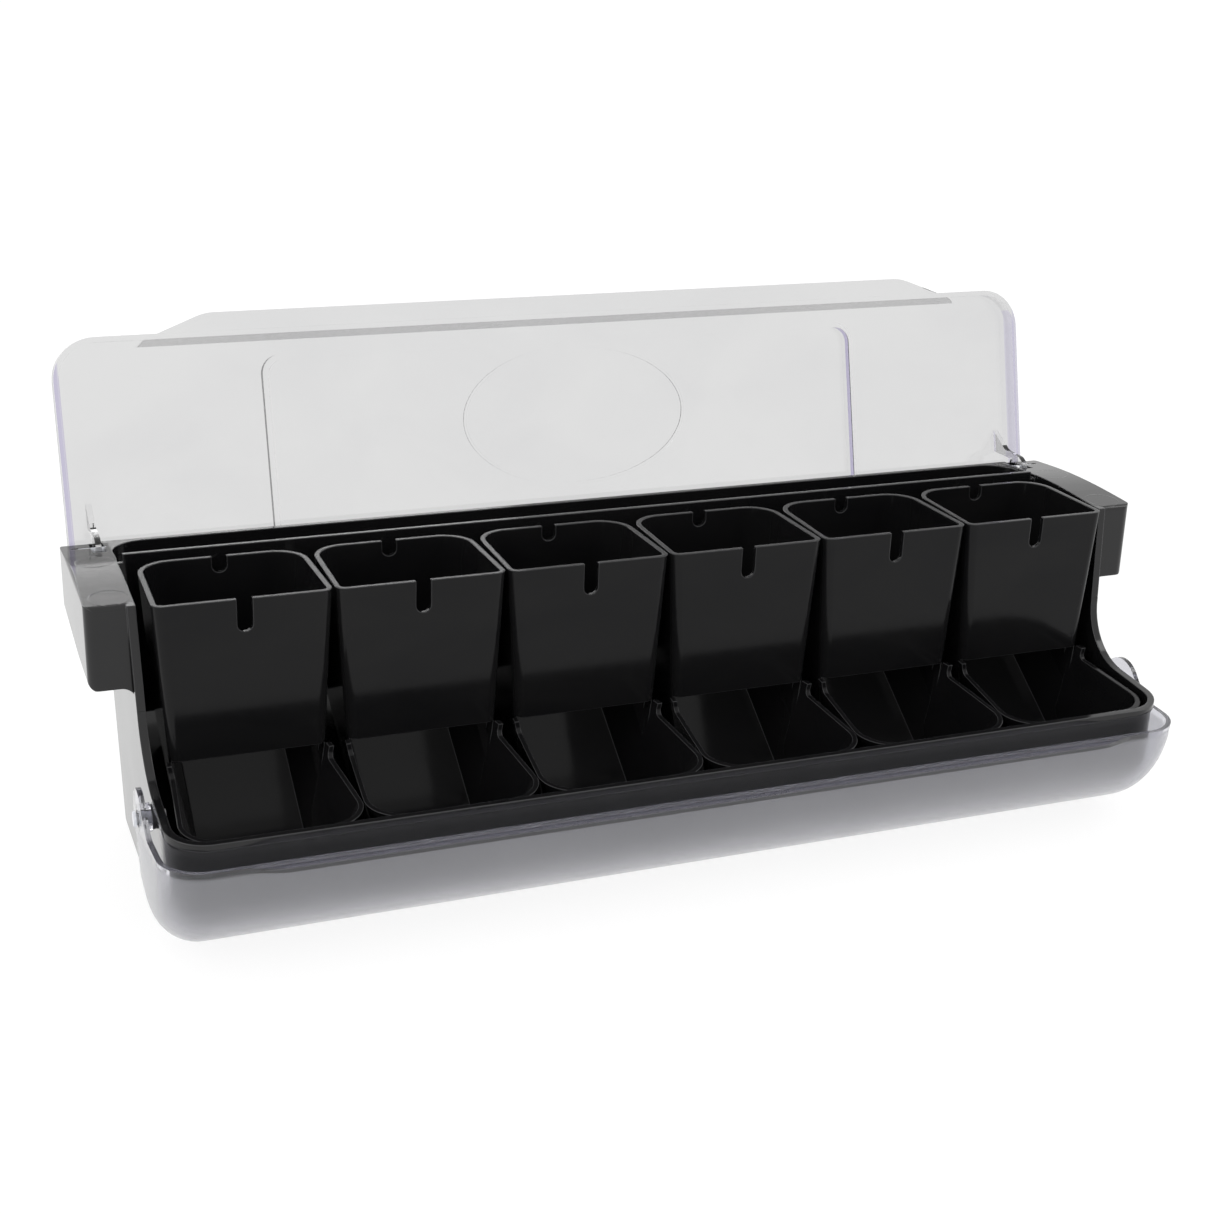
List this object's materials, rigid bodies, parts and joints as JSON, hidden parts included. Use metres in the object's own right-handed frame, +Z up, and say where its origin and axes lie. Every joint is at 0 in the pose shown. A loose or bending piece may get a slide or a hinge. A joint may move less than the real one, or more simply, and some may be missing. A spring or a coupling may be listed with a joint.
{
  "type": "countertop packet dispenser",
  "caption": "Countertop dispenser for small flat packets: gravity-feed bins in a housing with a hinged clear lid behind and a clear drum-shaped cover over the pick-up troughs.",
  "frame": {"origin": "middle of the whole dispenser's plan, on the surface that it stands on", "axes": "+X along the row of bins, -Y towards the pick-up troughs and the user, +Z up"},
  "size_m": [0.5024, 0.208, 0.2312],
  "materials": {
    "housing_plastic": "moulded glossy black with fine handling scratches",
    "bin_plastic": "polished black mould finish",
    "lid_clear": "clear moulded sheet with faint violet edges",
    "cover_clear": "clear moulded sheet, slightly hazy from handling",
    "pin_plastic": "clear natural plastic, greyish in thickness",
    "washer_plastic": "low-friction dark plastic",
    "foot_rubber": "matte rubber"
  },
  "bodies": {
    "housing": {"housing": "housing_plastic", "lid_pin_left": "pin_plastic", "lid_pin_right": "pin_plastic", "cover_pin_left": "pin_plastic", "cover_pin_right": "pin_plastic", "cover_washer_left": "washer_plastic", "cover_washer_right": "washer_plastic", "foot_front_left": "foot_rubber", "foot_front_right": "foot_rubber", "foot_rear_left": "foot_rubber", "foot_rear_right": "foot_rubber"},
    "lid": {"lid": "lid_clear"},
    "front_cover": {"front_cover": "cover_clear"},
    "bin_1": {"bin_1": "bin_plastic"},
    "bin_2": {"bin_2": "bin_plastic"},
    "bin_3": {"bin_3": "bin_plastic"},
    "bin_4": {"bin_4": "bin_plastic"},
    "bin_5": {"bin_5": "bin_plastic"},
    "bin_6": {"bin_6": "bin_plastic"}
  },
  "joints": [
    {"name": "lid_hinge", "type": "hinge", "parent": "housing", "child": "lid", "pos_m": [0, 0.0584, 0.1358], "axis": [-1, 0, 0], "range_deg": [-109.5, 0]},
    {"name": "cover_hinge", "type": "hinge", "parent": "housing", "child": "front_cover", "pos_m": [0, -0.0466, 0.0558], "axis": [1, 0, 0], "range_deg": [-106, 0]},
    {"name": "bin_1_lift", "type": "slide", "parent": "housing", "child": "bin_1", "axis": [0, 0, 1], "range_m": [0, 0.125]},
    {"name": "bin_2_lift", "type": "slide", "parent": "housing", "child": "bin_2", "axis": [0, 0, 1], "range_m": [0, 0.125]},
    {"name": "bin_3_lift", "type": "slide", "parent": "housing", "child": "bin_3", "axis": [0, 0, 1], "range_m": [0, 0.125]},
    {"name": "bin_4_lift", "type": "slide", "parent": "housing", "child": "bin_4", "axis": [0, 0, 1], "range_m": [0, 0.125]},
    {"name": "bin_5_lift", "type": "slide", "parent": "housing", "child": "bin_5", "axis": [0, 0, 1], "range_m": [0, 0.125]},
    {"name": "bin_6_lift", "type": "slide", "parent": "housing", "child": "bin_6", "axis": [0, 0, 1], "range_m": [0, 0.125]}
  ]
}
